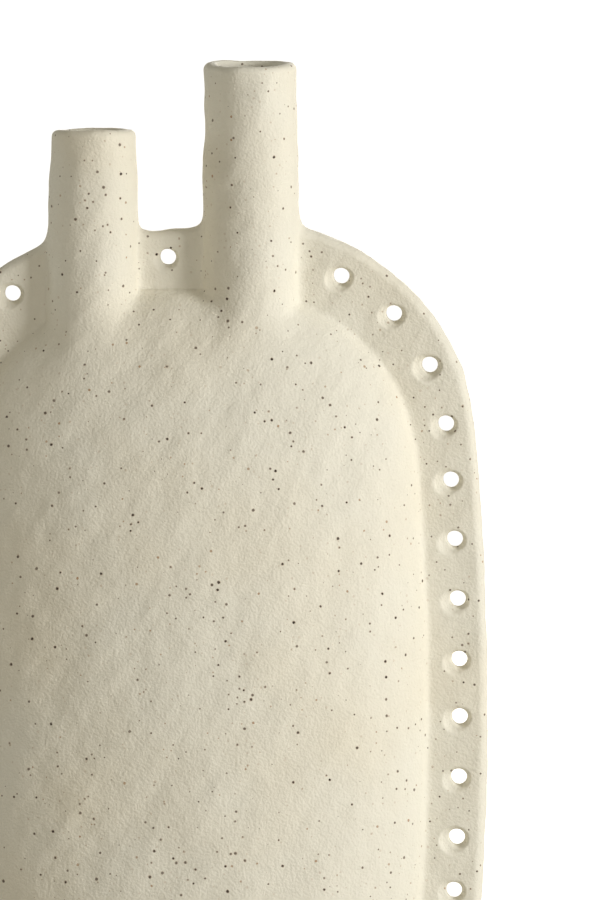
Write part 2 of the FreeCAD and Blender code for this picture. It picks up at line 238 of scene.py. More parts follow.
class Term:
    def __init__(self, socket):
        self.tree = socket.id_data
        self.socket = socket

    def math(self, operation, *others):
        inputs = enumerate((self, *others))
        return result(self.tree, "ShaderNodeMath", inputs, operation=operation)

    def __add__(self, other):
        return self.math("ADD", other)

    def __sub__(self, other):
        return self.math("SUBTRACT", other)

    def __rsub__(self, other):
        return -self + other

    def __mul__(self, other):
        return self.math("MULTIPLY", other)

    def __truediv__(self, other):
        return self.math("DIVIDE", other)

    def __rtruediv__(self, other):
        return self**-1.0 * other

    def __neg__(self):
        return self * -1.0

    def __pow__(self, power):
        return self.math("POWER", power)

    def __abs__(self):
        return self.math("ABSOLUTE")

    __radd__, __rmul__ = __add__, __mul__

    def root(self):
        return self.math("SQRT")

    def above(self, limit):
        """1 where the term is greater than the limit, otherwise 0."""
        return self.math("GREATER_THAN", limit)

    def at_least(self, low):
        return self.math("MAXIMUM", low)

    def at_most(self, high):
        return self.math("MINIMUM", high)

    def as_share(self):
        """The term, held between 0 and 1."""
        return self.at_least(0.0).at_most(1.0)

    def choose(self, when_off, when_on):
        """One of two terms, by this term's 0 or 1."""
        return when_off + (when_on - when_off) * self


def add_up(values):
    first, *others = values
    return sum(others, first)


def span(*parts):
    """The length of a line from its parts along each axis."""
    return add_up([part * part for part in parts]).root()


def soft_join(first, second, softness):
    """The union of two forms given as distances, with a filleted seam."""
    return first.math("SMOOTH_MIN", second, softness)


def soft_cut(form, tool, softness):
    """A form with a tool taken out of it, with an eased edge."""
    return form.math("SMOOTH_MAX", -tool, softness)


def round_meet(first, second, radius):
    """Where two forms overlap, with their shared edge rounded to a true radius."""
    inside = first.at_least(second).at_most(-radius)
    return inside + span((first + radius).at_least(0.0), (second + radius).at_least(0.0))


def vector(tree, *parts):
    return result(tree, "ShaderNodeCombineXYZ", enumerate(parts))


def parts_of(tree, kind, value):
    """The three parts of a vector or a colour."""
    return terms(add_node(tree, kind, {0: value}).outputs).values()


def noise(tree, position, scale, detail=2.0, roughness=0.5):
    inputs = {"Vector": position, "Scale": scale, "Detail": detail, "Roughness": roughness}
    return result(tree, "ShaderNodeTexNoise", inputs)


FLOAT, VECTOR, GEOMETRY = "NodeSocketFloat", "NodeSocketVector", "NodeSocketGeometry"
INTEGER, MATERIAL, OBJECT = "NodeSocketInt", "NodeSocketMaterial", "NodeSocketObject"


def new_tree(name, inputs, outputs, kind="GeometryNodeTree"):
    """A tree, its own inputs by name, and the node that its outputs are fed to."""
    tree = bpy.data.node_groups.new(name, kind)
    for label, socket_type, *default in inputs:
        socket = tree.interface.new_socket(name=label, in_out="INPUT", socket_type=socket_type)
        if default:
            socket.default_value = default[0]
    for label, socket_type in outputs:
        tree.interface.new_socket(name=label, in_out="OUTPUT", socket_type=socket_type)
    given = terms(tree.nodes.new("NodeGroupInput").outputs)
    return tree, given, tree.nodes.new("NodeGroupOutput")


def size_inputs(sizes):
    return [(name, FLOAT, value) for name, value in sizes.items()]


# Sizes that the trees take by name, worked out from the settings.


def arcs_of(form, pillow, width=0.0, rise=0.0, inset=0.0):
    """The touching arcs of an outline: side, shoulder and crown, as centre, centre, radius."""
    side = (pillow.half_width + width - form.side, pillow.widest)
    crown = (0.0, pillow.top + rise - form.crown)
    side_gap, crown_gap = form.side - form.shoulder, form.crown - form.shoulder
    apart = math.dist(side, crown)
    along = (side_gap**2 - crown_gap**2 + apart**2) / (2 * apart)
    across = math.sqrt(side_gap**2 - along**2)
    step = ((crown[0] - side[0]) / apart, (crown[1] - side[1]) / apart)
    shoulder = (
        side[0] + step[0] * along - step[1] * across,
        side[1] + step[1] * along + step[0] * across,
    )
    return {
        "side": (*side, form.side - inset),
        "shoulder": (*shoulder, form.shoulder - inset),
        "crown": (*crown, form.crown - inset),
    }


def heading(arc, towards):
    return math.atan2(towards[1] - arc[1], towards[0] - arc[0])


def point_at(arc, angle):
    return (arc[0] + arc[2] * math.cos(angle), arc[1] + arc[2] * math.sin(angle))


def flange_arcs(vase, inset=0.0):
    return arcs_of(vase.flange, vase.pillow, vase.flange.width, vase.flange.rise, inset)


def arc_sizes(label, arcs):
    side, shoulder, crown = arcs["side"], arcs["shoulder"], arcs["crown"]
    sizes = {
        "side across": side[0],
        "shoulder across": shoulder[0],
        "shoulder height": shoulder[1],
        "shoulder radius": shoulder[2],
        "crown height": crown[1],
    }
    for name, arc in (("side", side), ("crown", crown)):
        angle = heading(arc, shoulder)
        sizes |= {
            f"{name} radius": arc[2],
            f"{name} end": point_at(arc, angle)[1],
            f"{name} end across": math.cos(angle),
            f"{name} end up": math.sin(angle),
        }
    return {f"{label} {name}": value for name, value in sizes.items()}


def named(label, settings, names):
    """Settings under the names that the trees give them."""
    return {f"{label} {name.replace('_', ' ')}": getattr(settings, name) for name in names.split()}


NECKS = ("Tall neck", "Short neck")
NECK_NAMES = "offset height root_height root rim bore lip nod"
HOLE_NAMES = (
    "radius edge lean_aside lean_up dish dish_depth dish_aside dish_below"
    " funnel funnel_aside funnel_below funnel_flare"
)


def vase_sizes(vase):
    """Every size that the distance trees take, by the name of its input."""
    pillow = vase.pillow
    return {
        "Widest height": pillow.widest,
        "Bulge top": pillow.top,
        "Bulge depth": pillow.half_depth,
        "Hollow top": pillow.top - pillow.wall,
        "Hollow depth": pillow.half_depth - pillow.wall,
        "Flange half thickness": vase.flange.thickness / 2,
        "Table gap": TABLE_GAP,
        "Tiny": TINY,
        **named("Pillow", pillow, "tuck wave wave_span"),
        **named("Flange", vase.flange, "corner rim crease"),
        **named("Hole", vase.holes, HOLE_NAMES),
        **named("Vase", vase, "neck_seam face_seam web_seam rim_seam foot_edge"),
        **named("Tall neck", vase.tall, NECK_NAMES),
        **named("Short neck", vase.short, NECK_NAMES),
        **arc_sizes("Bulge", arcs_of(pillow, pillow)),
        **arc_sizes("Hollow", arcs_of(pillow, pillow, inset=pillow.wall)),
        **arc_sizes("Flange", flange_arcs(vase)),
    }


# The distance tree: how far a point is from the clay, negative inside it.

# Powers of the bulge's profile from the widest height up to the crown.
CROWN_HEIGHT_POWER = 2.5
CROWN_DEPTH_POWER = 2.2
CROWN_SOFTNESS = 8.0 * MM
# Where the flange's edge leaves its arcs: the middle, reach and height of each lift.
CROWN_LIFTS = (
    (40.0 * MM, 30.0 * MM, 2.9 * MM),
    (-20.0 * MM, 13.0 * MM, -0.9 * MM),
)
# The crease between the bulge and the flange is softer between the necks.
CREASE_LIFTS = ((-9.0 * MM, 26.0 * MM, 12.0 * MM),)
# All the lifts start at this height and are whole this much further up.
LIFT_FROM, LIFT_REACH = 300.0 * MM, 50.0 * MM
# The strokes' turn from upright, and their width as a share of their length.
STROKE_TURN = math.radians(-38.0)
STROKE_SHARE = 0.6
STROKE_ROUGHNESS = 0.6
# The noise stays above this, so that the waves only ever dip into the form.
WAVE_CREST = 0.26
# The noise spans about a half, and this stretches it to the waves' whole height.
WAVE_STRETCH = 2.0
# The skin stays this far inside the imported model's box.
TABLE_GAP = 0.02 * MM
# These keep a division away from nought at the vase's crown and on its axis.
SLIVER = 0.5 * MM
TINY = 1e-6


def bulge_distance(across, depth, up, size, label):
    """Distance to a form whose level sections are ellipses inside the arcs' outline."""

    def own(name):
        return size[f"{label} {name}"]

    def reach(arc, drop):
        radius = own(f"{arc} radius")
        return (radius * radius - drop * drop).at_least(0.0).root()

    widest = size["Widest height"]
    side = own("side across") + reach("side", up - widest)
    shoulder = own("shoulder across") + reach("shoulder", up - own("shoulder height"))
    crown = reach("crown", up - own("crown height"))
    over_side, over_shoulder = up.above(own("side end")), up.above(own("crown end"))
    half_width = over_shoulder.choose(over_side.choose(side, shoulder), crown).at_least(SLIVER)
    lift = ((up - widest) / (own("top") - widest)).as_share()
    swell = (1.0 - lift**CROWN_HEIGHT_POWER).at_least(0.0) ** (1 / CROWN_DEPTH_POWER)
    sink = (1.0 - up / widest).as_share()
    half_depth = (swell * own("depth") - sink * sink * size["Pillow tuck"]).at_least(SLIVER)
    u, v = across / half_width, depth / half_depth
    spare = size["Tiny"]
    level = (u * u + v * v + spare).root()
    steep = span(u / half_width, v / half_depth, spare.root() / half_depth)
    over_top = up - own("top")
    return -soft_join(-(level * (level - 1.0) / steep), -over_top, CROWN_SOFTNESS)


def growth(value, start, reach):
    """Grows from 0 to 1 over the reach past the start."""
    return ((value - start) / reach).as_share()


def lifted(x, up, shapes):
    """Smooth humps across the top of the vase, from the middle, reach and height of each."""
    humps = []
    for middle, reach, height in shapes:
        away = (x - middle) / reach
        humps.append((-(away * away)).math("EXPONENT") * height)
    return add_up(humps) * growth(up, LIFT_FROM, LIFT_REACH)


def flange_distance(x, across, depth, up, size):
    """Distance to the plate inside the flange's arcs, with its rim and corners rounded."""

    def own(name):
        return size[f"Flange {name}"]

    up = up - lifted(x, up, CROWN_LIFTS)
    out, rise = across - own("shoulder across"), up - own("shoulder height")
    to_side = span(across - own("side across"), up - size["Widest height"]) - own("side radius")
    to_crown = span(across, up - own("crown height")) - own("crown radius")
    to_shoulder = span(out, rise) - own("shoulder radius")
    past_side = rise * own("side end across") - out * own("side end up")
    past_crown = out * own("crown end up") - rise * own("crown end across")
    on_shoulder = past_side.above(0.0) * past_crown.above(0.0)
    edge = on_shoulder.choose(to_side.at_least(to_crown), to_shoulder)
    edge = round_meet(edge, -up, own("corner"))
    return round_meet(edge, depth - own("half thickness"), own("rim"))


def neck_distances(x, y, up, size, label):
    """Distances to a neck's tube and to its bore."""

    def own(name):
        return size[f"{label} {name}"]

    low, high, root, rim = own("root height"), own("height"), own("root"), own("rim")
    to_axis = span(x - own("offset"), y)
    radius = root + (rim - root) * ((up - low) / (high - low)).as_share()
    tip = high + y * own("nod") - rim * abs(own("nod"))
    tube = round_meet(to_axis - radius, up - tip, own("lip"))
    below = low - own("bore") - up
    return tube, (to_axis - own("bore")).at_least(below)


def hole_distances(tree, x, y, depth, up, size):
    """Distances to the nearest pierced hole, with its steep mouth, and to the dish round it."""

    def own(name):
        return size[f"Hole {name}"]

    def to_nearest(across, height):
        place = vector(tree, across, 0.0, height)
        inputs = {"Geometry": size["Holes"], "Sample Position": place}
        kind = "GeometryNodeProximity"
        return result(tree, kind, inputs, "Distance", target_element="POINTS")

    to_axis = to_nearest(x - y * own("lean aside"), up - y * own("lean up"))
    to_dish = to_nearest(x + own("dish aside"), up + own("dish below"))
    to_funnel = to_nearest(x - own("funnel aside"), up + own("funnel below"))
    half_thickness = size["Flange half thickness"]
    over_face = (depth - half_thickness).at_most(0.0)
    funnel = to_funnel - own("funnel") - over_face * own("funnel flare")
    mouth, sag = own("dish"), own("dish depth")
    ball = (mouth * mouth + sag * sag) / (sag * 2.0)
    centre = half_thickness + ball - sag
    hole = (to_axis - own("radius")).at_most(funnel)
    return hole, span(to_dish, depth - centre) - ball


def waves(tree, size):
    """How deep the hand's strokes sink, longest along the diagonal that the hand moved in."""
    inputs = {"Vector": size["Position"], "Angle": STROKE_TURN}
    turned = result(tree, "ShaderNodeVectorRotate", inputs, rotation_type="Y_AXIS")
    inputs = {0: turned, 1: (1.0, 1.0, STROKE_SHARE)}
    drawn_out = result(tree, "ShaderNodeVectorMath", inputs, operation="MULTIPLY")
    scale = 1.0 / size["Pillow wave span"]
    strokes = noise(tree, drawn_out, scale, roughness=STROKE_ROUGHNESS)
    return (strokes - WAVE_CREST) * WAVE_STRETCH * size["Pillow wave"]


def distance_tree(sizes):
    inputs = [("Holes", GEOMETRY), ("Position", VECTOR), *size_inputs(sizes)]
    tree, size, finish = new_tree("Vase distance", inputs, [("Distance", FLOAT)])
    x, y, up = parts_of(tree, "ShaderNodeSeparateXYZ", size["Position"])
    across, depth = abs(x), abs(y)
    half_thickness = size["Flange half thickness"]
    neck_seam, face_seam = size["Vase neck seam"], size["Vase face seam"]

    tall_tube, tall_bore = neck_distances(x, y, up, size, "Tall neck")
    short_tube, short_bore = neck_distances(x, y, up, size, "Short neck")
    body = bulge_distance(across, depth, up, size, "Bulge")
    crease = size["Flange crease"] + lifted(x, up, CREASE_LIFTS)
    body = soft_join(body, flange_distance(x, across, depth, up, size), crease)
    in_front = growth(depth, half_thickness, neck_seam)
    inside = 1.0 - growth(depth, 0.0, half_thickness)
    seam = face_seam + in_front * (neck_seam - face_seam)
    seam = seam + inside * (size["Vase web seam"] - face_seam)
    body = soft_join(body, tall_tube.at_most(short_tube), seam)
    body = body + waves(tree, size)
    body = round_meet(body, size["Table gap"] - up, size["Vase foot edge"])
    hollow = bulge_distance(across, depth, up, size, "Hollow")
    hollow = soft_join(hollow, tall_bore.at_most(short_bore), neck_seam)
    hole, dish = hole_distances(tree, x, y, depth, up, size)
    for tool, edge in ((hollow, "Vase rim seam"), (dish, "Hole edge"), (hole, "Hole edge")):
        body = soft_cut(body, tool, size[edge])
    feed(finish, {"Distance": body})
    return tree


def read_at(tree, group, given, position):
    """The outputs of a nested tree at a position; its other inputs are the outer tree's."""
    node = add_node(tree, "GeometryNodeGroup", node_tree=group)
    known = given | {"Position": position}
    feed(node, {plug.name: known[plug.name] for plug in node.inputs if plug.name in known})
    return terms(node.outputs)


# Corners of a tetrahedron round a point, at which the slope is read, and their distance.
CORNERS = ((1, -1, -1), (-1, -1, 1), (-1, 1, -1), (1, 1, 1))
CORNER_REACH = 0.25 * MM
# A slope flatter than this doesn't lengthen the way back to the surface any more.
LEAST_SLOPE = 0.05


def slope_tree(sizes, group):
    """Distance and slope of the clay's surface at a position, from four readings near it."""
    inputs = [("Holes", GEOMETRY), ("Position", VECTOR), ("Reach", FLOAT, CORNER_REACH)]
    inputs += size_inputs(sizes)
    outputs = [("Distance", FLOAT), ("Slope", VECTOR), ("Return", VECTOR)]
    tree, given, finish = new_tree("Vase slope", inputs, outputs)
    reach = given["Reach"]
    readings = []
    for corner in CORNERS:
        inputs = {0: corner, 1: vector(tree, reach, reach, reach), 2: given["Position"]}
        place = result(tree, "ShaderNodeVectorMath", inputs, operation="MULTIPLY_ADD")
        readings.append(read_at(tree, group, given, place)["Distance"])
    count = float(len(CORNERS))
    distance = add_up(readings) * (1.0 / count)
    slope = [
        add_up([reading * float(sign) for reading, sign in zip(readings, signs)]) / (reach * count)
        for signs in zip(*CORNERS)
    ]
    back = distance / add_up([part * part for part in slope]).at_least(LEAST_SLOPE)
    returned = vector(tree, *(-(part * back) for part in slope))
    feed(finish, {"Distance": distance, "Slope": vector(tree, *slope), "Return": returned})
    return tree


# The skin: a volume read from the distance tree, drawn as a mesh and settled on the surface.

SLOPE = "slope"
TREE_OUTPUT = [("Geometry", GEOMETRY)]
# The volume fades from full to empty over this many grains, and is drawn where it is half full.
FADE_GRAINS = 4.0
HALF_FULL = 0.5
SETTLING_ROUNDS = 2


def with_holes(tree, given):
    """A tree's inputs, with the places of the holes read from their object."""
    inputs = {"Object": given["Hole places"]}
    return given | {"Holes": result(tree, "GeometryNodeObjectInfo", inputs, "Geometry")}


def read_here(tree, group, given):
    return read_at(tree, group, given, result(tree, "GeometryNodeInputPosition"))


def skin_tree(sizes, distances, slopes):
    """The volume as a mesh, with its points moved onto the clay's true surface."""
    inputs = [
        ("Geometry", GEOMETRY),
        ("Hole places", OBJECT),
        ("Grain", FLOAT),
        ("Low", VECTOR),
        ("High", VECTOR),
        *((f"Count {axis}", INTEGER) for axis in "XYZ"),
        *size_inputs(sizes),
    ]
    tree, given, finish = new_tree("Vase skin", inputs, TREE_OUTPUT)
    given = with_holes(tree, given)
    distance = read_here(tree, distances, given)["Distance"]
    fill = (HALF_FULL - distance / (given["Grain"] * FADE_GRAINS)).as_share()
    inputs = {"Density": fill, "Min": given["Low"], "Max": given["High"]}
    inputs |= {f"Resolution {axis}": given[f"Count {axis}"] for axis in "XYZ"}
    inputs = {"Volume": result(tree, "GeometryNodeVolumeCube", inputs), "Threshold": HALF_FULL}
    mesh = result(tree, "GeometryNodeVolumeToMesh", inputs)
    for _ in range(SETTLING_ROUNDS):
        inputs = {"Geometry": mesh, "Offset": read_here(tree, slopes, given)["Return"]}
        mesh = result(tree, "GeometryNodeSetPosition", inputs)
    feed(finish, {"Geometry": mesh})
    return tree


# The pieces: each is the skin's part inside its own cutter.

# A neck's cutter: how much wider it is than the neck, how many times that it is taller, its sides.
CUTTER_SPARE = 1.2 * MM
CUTTER_PAST_RIM = 4.0
CUTTER_SIDES = 96
# A slab's block: how many times the bulge's half depth it is deep, how many times the vase's
# height it is wide and high, and how far it is lifted, as a share of its own height.
BLOCK_DEPTH, BLOCK_HEIGHT, BLOCK_LIFT = 2.0, 1.5, 0.4


def moved(tree, geometry, *place):
    inputs = {"Geometry": geometry, "Translation": vector(tree, *place)}
    return result(tree, "GeometryNodeTransform", inputs)


def cone_cutter(tree, size, label):
    """A closed cone round a neck, a little wider than it, from its root to over its rim."""
    low, spare = size[f"{label} root height"], size["Spare"]
    inputs = {
        "Vertices": CUTTER_SIDES,
        "Radius Bottom": size[f"{label} root"] + spare,
        "Radius Top": size[f"{label} rim"] + spare,
        "Depth": size[f"{label} height"] - low + spare * CUTTER_PAST_RIM,
    }
    cone = result(tree, "GeometryNodeMeshCone", inputs)
    return moved(tree, cone, size[f"{label} offset"], 0.0, low)


def half_cutter(tree, size):
    """A block that holds one side of the seam, front or back, and runs past the vase."""
    depth, height = size["Bulge depth"] * BLOCK_DEPTH, size["Tall neck height"] * BLOCK_HEIGHT
    block = result(tree, "GeometryNodeMeshCube", {"Size": vector(tree, height, depth, height)})
    return moved(tree, block, 0.0, depth * 0.5 * size["Side"], height * BLOCK_LIFT)


def carve(tree, operation, geometry, *cutters):
    node = add_node(tree, "GeometryNodeMeshBoolean", operation=operation, solver="MANIFOLD")
    join(node.inputs["Mesh 1" if operation == "DIFFERENCE" else "Mesh 2"], geometry)
    for cutter in cutters:
        join(node.inputs["Mesh 2"], cutter)
    return Term(node.outputs["Mesh"])


def finish_piece(tree, given, slopes, mesh, finish):
    """Slope for the shading, then the plain mesh with its clay."""
    settings = {"data_type": "FLOAT_VECTOR", "domain": "POINT"}
    inputs = {"Geometry": mesh, "Name": SLOPE, "Value": read_here(tree, slopes, given)["Slope"]}
    mesh = result(tree, "GeometryNodeStoreNamedAttribute", inputs, **settings)
    mesh = result(tree, "GeometryNodeSetShadeSmooth", {"Geometry": mesh})
    mesh = result(tree, "GeometryNodeRealizeInstances", {"Geometry": mesh})
    mesh = result(tree, "GeometryNodeSetMaterial", {"Geometry": mesh, "Material": given["Clay"]})
    feed(finish, {"Geometry": mesh})


def piece_tree(name, sizes, *more):
    """A tree that cuts a piece out of the skin, with its inputs and its end."""
    inputs = [
        ("Geometry", GEOMETRY),
        ("Hole places", OBJECT),
        ("Clay", MATERIAL),
        ("Spare", FLOAT, CUTTER_SPARE),
        *more,
        *size_inputs(sizes),
    ]
    tree, given, finish = new_tree(name, inputs, TREE_OUTPUT)
    return tree, with_holes(tree, given), finish


def slab_tree(sizes, slopes):
    """One slab: the skin on one side of the seam, without what belongs to the necks."""
    tree, given, finish = piece_tree("Slab", sizes, ("Side", FLOAT))
    half = carve(tree, "INTERSECT", given["Geometry"], half_cutter(tree, given))
    necks = [cone_cutter(tree, given, label) for label in NECKS]
    finish_piece(tree, given, slopes, carve(tree, "DIFFERENCE", half, *necks), finish)


def neck_tree(sizes, slopes, label):
    """One neck: the skin inside its own cone."""
    tree, given, finish = piece_tree(label, sizes)
    neck = carve(tree, "INTERSECT", given["Geometry"], cone_cutter(tree, given, label))
    finish_piece(tree, given, slopes, neck, finish)


# Making the objects.

# Steps between the holes down the right side, as shares of the pitch; the rest are whole.
RIGHT_PITCH_SHARES = (1.1, 1.07, 1.04, 0.96, 1.01, 1.02, 1.03, 0.98, 1.03, 1.03, 0.91)
SKIN, HOLE_PLACES = "vase_skin", "hole_places"
THIN_SHARE = 0.33
# The volume runs this many grains past the vase.
MARGIN_GRAINS = 3.0
# A face whose corners' slopes agree less than this with the way it faces is a cut face.
CUT_FACE_AGREEMENT = 0.3


def hole_places(vase):
    """Centres of the pierced holes, a pitch apart along the flange on either side."""
    holes = vase.holes
    arcs = flange_arcs(vase, holes.inset)
    crown = arcs["crown"]
    places = [(-holes.crown, crown[1] + math.sqrt(crown[2] ** 2 - holes.crown**2))]
    places += holes_down_one_side(arcs, holes, holes.right, RIGHT_PITCH_SHARES)
    places += [(-x, z) for x, z in holes_down_one_side(arcs, holes, holes.left)]
    return [(x, 0.0, z) for x, z in places]


def holes_down_one_side(arcs, holes, first, steps=()):
    steps = iter(steps)
    side, shoulder = arcs["side"], arcs["shoulder"]
    begin, change = math.acos((first - shoulder[0]) / shoulder[2]), heading(side, shoulder)
    points = []
    wait = 0.0
    for arc, start, stop in ((shoulder, begin, change), (side, change, -math.pi / 2)):
        angle = start - wait / arc[2]
        while angle > stop:
            point = point_at(arc, angle)
            if point[1] < holes.lowest:
                return points
            points.append(point)
            angle -= holes.pitch * next(steps, 1.0) / arc[2]
        wait = (stop - angle) * arc[2]
    return points


def add_object(name, data):
    piece = bpy.data.objects.new(name, data)
    bpy.context.scene.collection.objects.link(piece)
    return piece


def dress(piece, tree, values):
    """Put a node tree on an object and set its inputs by their identifiers."""
    modifier = piece.modifiers.new(tree.name, "NODES")
    modifier.node_group = tree
    for item in tree.interface.items_tree:
        if item.item_type == "SOCKET" and item.in_out == "INPUT" and item.name in values:
            modifier[item.identifier] = values[item.name]


def settled_mesh(piece, name):
    """The object's finished shape as a plain mesh; the object itself goes."""
    graph = bpy.context.evaluated_depsgraph_get()
    mesh = bpy.data.meshes.new_from_object(
        piece.evaluated_get(graph), preserve_all_data_layers=True, depsgraph=graph
    )
    mesh.name = name
    drawing = piece.data
    bpy.data.objects.remove(piece)
    bpy.data.meshes.remove(drawing)
    return mesh


def read_all(items, name, width, kind):
    """One property of all of a mesh's items, as an array."""
    values = np.empty(len(items) * width, dtype=kind)
    items.foreach_get(name, values)
    return values.reshape(-1, width) if width > 1 else values


def soften(mesh):
    """Shade the mesh by the stored slope, and leave the cut faces inside the clay flat."""
    slope = read_all(mesh.attributes[SLOPE].data, "vector", 3, np.float32)
    slope /= np.maximum(np.linalg.norm(slope, axis=1, keepdims=True), TINY)
    corners = read_all(mesh.polygons, "loop_total", 1, np.int32)
    flat = np.repeat(read_all(mesh.polygons, "normal", 3, np.float32), corners, axis=0)
    normals = slope[read_all(mesh.loops, "vertex_index", 1, np.int32)]
    agree = (normals * flat).sum(axis=1)
    face = np.repeat(np.arange(len(corners)), corners)
    least = np.full(len(corners), 1.0)
    np.minimum.at(least, face, agree)
    cut = least[face] < CUT_FACE_AGREEMENT
    normals[cut] = flat[cut]
    mesh.normals_split_custom_set(normals.tolist())
    mesh.attributes.remove(mesh.attributes[SLOPE])


def make_skin(vase):
    """The whole vase as one closed mesh, from which the pieces are cut."""
    sizes = vase_sizes(vase)
    distances = distance_tree(sizes)
    slopes = slope_tree(sizes, distances)
    slab_tree(sizes, slopes)
    for label in NECKS:
        neck_tree(sizes, slopes, label)
    places = bpy.data.meshes.new(HOLE_PLACES)
    places.from_pydata(hole_places(vase), [], [])
    holes = add_object(HOLE_PLACES, places)
    grain = vase.grain * 1.0
    margin = Vector((grain, grain, grain)) * MARGIN_GRAINS
    low = Vector(SLAB_LOW) - margin
    high = Vector((SLAB_HIGH[0], -SLAB_LOW[1], TALL_HIGH[2])) + margin
    counts = [math.ceil((b - a) / grain) for a, b in zip(low, high)]
    skin = add_object(SKIN, bpy.data.meshes.new("drawing"))
    values = {"Hole places": holes, "Grain": grain, "Low": low, "High": high}
    values |= {f"Count {axis}": count for axis, count in zip("XYZ", counts)}
    dress(skin, skin_tree(sizes, distances, slopes), values)
    thin = skin.modifiers.new("Thin", "DECIMATE")
    thin.ratio = THIN_SHARE
    return settled_mesh(skin, SKIN)


def cut_piece(node, tree, clay, **values):
    """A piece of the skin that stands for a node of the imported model."""
    piece = add_object(f"{node}_cut", bpy.data.meshes[SKIN].copy())
    values |= {"Hole places": bpy.data.objects[HOLE_PLACES], "Clay": clay}
    dress(piece, bpy.data.node_groups[tree], values)
    mesh = settled_mesh(piece, f"{node}_skin")
    soften(mesh)
    finished = add_object(f"{node}_skin", mesh)
    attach(finished, "root")
    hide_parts(node)


# Finishes.

SLAB_CLAY, NECK_CLAY, FOOT_CLAY = "slab_stoneware", "neck_stoneware", "foot_stoneware"
WHITE, WARM_WHITE, COOL_WHITE = (1.0, 1.0, 1.0), (1.0, 0.89, 0.62), (0.92, 0.98, 1.0)
# Two sizes of sandy bump: how many to a grain, the noise's detail, and the share of the height.
SAND_BUMPS = ((0.9, 2.0, 0.7), (0.3, 1.0, 0.45))
# The smallest speck, the span and depth of a speck's ragged outline, and how soft it is.
SMALLEST_SPECK = 0.3
RAGGED_SPAN, RAGGED_DEPTH = 1.2, 0.8
SPECK_SOFTNESS = 0.12
# The strength of the palest specks.
PALEST_SPECK = 0.65
# Layers of specks: shift, then shares of the spacing and the radius, share kept, strength, tint.
SPECK_LAYERS = (
    ((0.31, 0.17, 0.53), 0.8, 0.9, 0.5, 0.25, "rust"),
    ((0.71, 0.37, 0.11), 1.4, 0.95, 0.7, 0.8, "rust"),
    ((0.0, 0.0, 0.0), 1.0, 1.2, 0.85, 0.45, "rust"),
    ((0.0, 0.0, 0.0), 1.0, 0.92, 0.85, 1.0, "iron"),
)
# Patches of warmer clay: their span, and the noise at which they start, how fast and how far.
WARM_SPAN = 70.0 * MM
WARM_START, WARM_STEEPNESS, WARM_MOST = 0.42, 3.0, 0.8
CLAY_SHINE = 0.35
# How white the floor shows by itself near the vase, and how far its shadow is kept.
FLOOR_GLOW = 0.6
SHADOW_REACH = 0.45


def sandy_grain_group():
    """Height of the fine sandy bumps, in metres."""
    inputs, outputs = [("Position", VECTOR), ("Span", FLOAT), ("Rise", FLOAT)], [("Height", FLOAT)]
    tree, size, finish = new_tree("Sandy grain", inputs, outputs, "ShaderNodeTree")
    height = add_up([
        noise(tree, size["Position"], per_grain / size["Span"], detail) * part
        for per_grain, detail, part in SAND_BUMPS
    ])
    feed(finish, {"Height": height * size["Rise"]})


def specks_group():
    """Scattered specks: a mask that is 1 in a speck, and a value that differs between specks."""
    inputs = [("Position", VECTOR), ("Shift", VECTOR)]
    inputs += [("Spacing", FLOAT), ("Largest", FLOAT), ("Kept", FLOAT)]
    outputs = [("Mask", FLOAT), ("Which", FLOAT)]
    tree, size, finish = new_tree("Specks", inputs, outputs, "ShaderNodeTree")
    spacing, largest = size["Spacing"], size["Largest"]
    inputs = {0: size["Position"], 1: size["Shift"]}
    place = result(tree, "ShaderNodeVectorMath", inputs, operation="ADD")
    ragged = noise(tree, place, 1.0 / (largest * RAGGED_SPAN))
    inputs = {"Vector": place, "Scale": 1.0 / spacing}
    cells = terms(add_node(tree, "ShaderNodeTexVoronoi", inputs).outputs)
    draw, grade, which = parts_of(tree, "ShaderNodeSeparateColor", cells["Color"])
    radius = largest * (grade * grade * (1.0 - SMALLEST_SPECK) + SMALLEST_SPECK)
    away = cells["Distance"] * spacing + (ragged - 0.5) * radius * RAGGED_DEPTH
    mask = ((radius - away) / (largest * SPECK_SOFTNESS)).as_share()
    kept = 1.0 - draw.above(size["Kept"])
    feed(finish, {"Mask": mask * kept, "Which": which})


def new_finish(name):
    """A material, its tree and its shader, and the position that its patterns read."""
    material = bpy.data.materials.new(name)
    material.use_nodes = True
    tree = material.node_tree
    position = result(tree, "ShaderNodeTexCoord", output="Object")
    return material, tree, tree.nodes["Principled BSDF"], position


def mix_colours(tree, share_of_second, first, second):
    node = add_node(tree, "ShaderNodeMix", {"Factor": share_of_second}, data_type="RGBA")
    plugs = [plug for plug in node.inputs if plug.type == "RGBA"]
    for plug, value in zip(plugs, (first, second)):
        join(plug, value if isinstance(value, Term) else (*value, 1.0))
    return Term(next(plug for plug in node.outputs if plug.type == "RGBA"))


